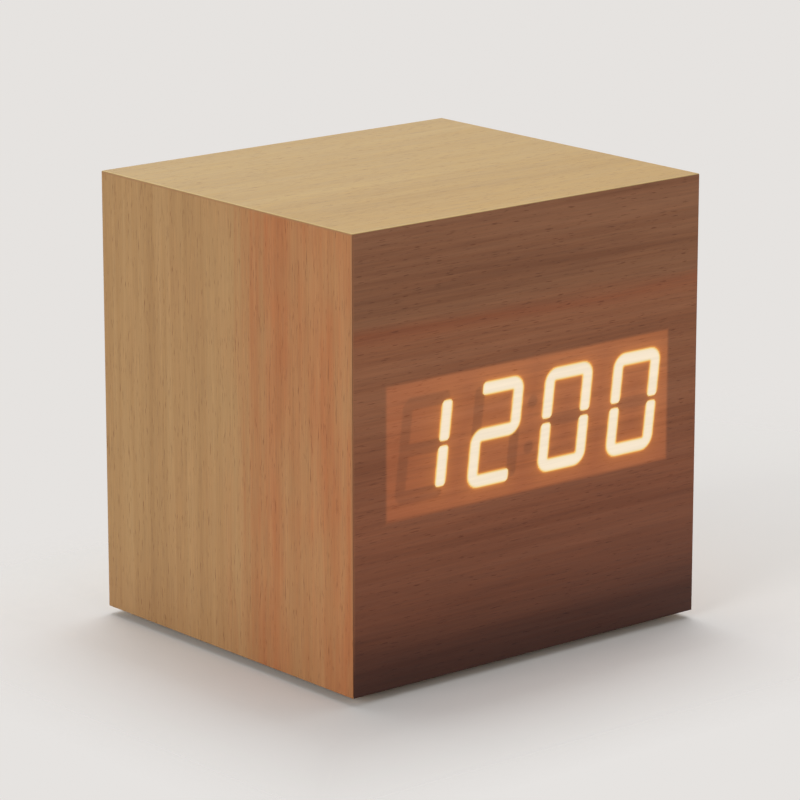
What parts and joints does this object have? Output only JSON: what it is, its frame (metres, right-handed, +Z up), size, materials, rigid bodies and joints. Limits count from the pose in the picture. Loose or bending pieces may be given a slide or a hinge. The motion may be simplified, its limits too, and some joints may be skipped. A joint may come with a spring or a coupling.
{
  "type": "digital alarm clock",
  "caption": "Wood-block digital alarm clock whose digits shine through the veneered front, with push buttons, a power socket and a battery tray in its base.",
  "frame": {"origin": "middle of the footprint, on the surface that the rubber feet stand on", "axes": "+Z up, the display faces -Y, +X is to the right of someone reading the display"},
  "size_m": [0.0612, 0.054, 0.0631],
  "materials": {
    "front_veneer": "satin dark veneer, grain across",
    "pale_veneer": "satin pale veneer, grain across",
    "side_veneer": "satin veneer, grain upright",
    "fibreboard": "bare fibreboard",
    "black_plastic": "fine moulded texture",
    "white_plastic": "moulded",
    "lit_display": "translucent film with light behind it",
    "circuit_board": "solder mask",
    "chip": "moulded epoxy",
    "steel": "zinc plated",
    "nickel": "nickel plated",
    "button": "satin moulded",
    "rubber": "matte",
    "cell_can": "plain shrink sleeve on a metal can",
    "ribbon": "insulated flat cable",
    "red_lead": "insulated wire",
    "black_lead": "insulated wire"
  },
  "bodies": {
    "case": {"front_panel": "front_veneer", "left_side_board": "side_veneer", "right_side_board": "side_veneer", "top_board": "pale_veneer", "bottom_board": "pale_veneer", "back_board": "pale_veneer", "lower_left_corner_block": "fibreboard", "lower_right_corner_block": "fibreboard", "upper_left_corner_block": "fibreboard", "upper_right_corner_block": "fibreboard", "lower_left_back_screw": "steel", "lower_right_back_screw": "steel", "upper_left_back_screw": "steel", "upper_right_back_screw": "steel", "front_left_foot": "rubber", "front_right_foot": "rubber", "rear_left_foot": "rubber", "rear_right_foot": "rubber", "diffuser_film": "lit_display", "segment_reflector": "white_plastic", "display_board": "circuit_board", "display_screw_1": "steel", "display_screw_2": "steel", "display_screw_3": "steel", "display_screw_4": "steel", "main_board": "circuit_board", "set_switch_body": "chip", "down_switch_body": "chip", "up_switch_body": "chip", "power_jack": "black_plastic", "jack_pin": "nickel", "buzzer": "black_plastic", "microphone": "nickel", "controller_chip": "chip", "clock_crystal": "nickel", "board_spacer_1": "white_plastic", "board_spacer_2": "white_plastic", "board_screw_1": "steel", "board_screw_2": "steel", "battery_tray": "black_plastic", "front_tray_screw": "steel", "rear_tray_screw": "steel", "battery_cell_1": "cell_can", "battery_cell_2": "cell_can", "battery_cell_3": "cell_can", "positive_terminal": "nickel", "negative_terminal": "nickel", "bridge_contact_1": "nickel", "bridge_contact_2": "nickel", "display_ribbon": "ribbon", "positive_lead": "red_lead", "negative_lead": "black_lead"},
    "set_key": {"set_button": "button", "set_switch_plunger": "white_plastic"},
    "down_key": {"down_button": "button", "down_switch_plunger": "white_plastic"},
    "up_key": {"up_button": "button", "up_switch_plunger": "white_plastic"},
    "door": {"battery_door": "black_plastic"}
  },
  "joints": [
    {"name": "set_press", "type": "slide", "parent": "case", "child": "set_key", "axis": [0, -1, 0], "range_m": [0, 0.0006], "stiffness_N_per_m": 200},
    {"name": "down_press", "type": "slide", "parent": "case", "child": "down_key", "axis": [0, -1, 0], "range_m": [0, 0.0006], "stiffness_N_per_m": 200},
    {"name": "up_press", "type": "slide", "parent": "case", "child": "up_key", "axis": [0, -1, 0], "range_m": [0, 0.0006], "stiffness_N_per_m": 200},
    {"name": "door_swing", "type": "hinge", "parent": "case", "child": "door", "pos_m": [-0.02305, 0, 0.0025], "axis": [0, 1, 0], "range_deg": [0, 90]}
  ]
}
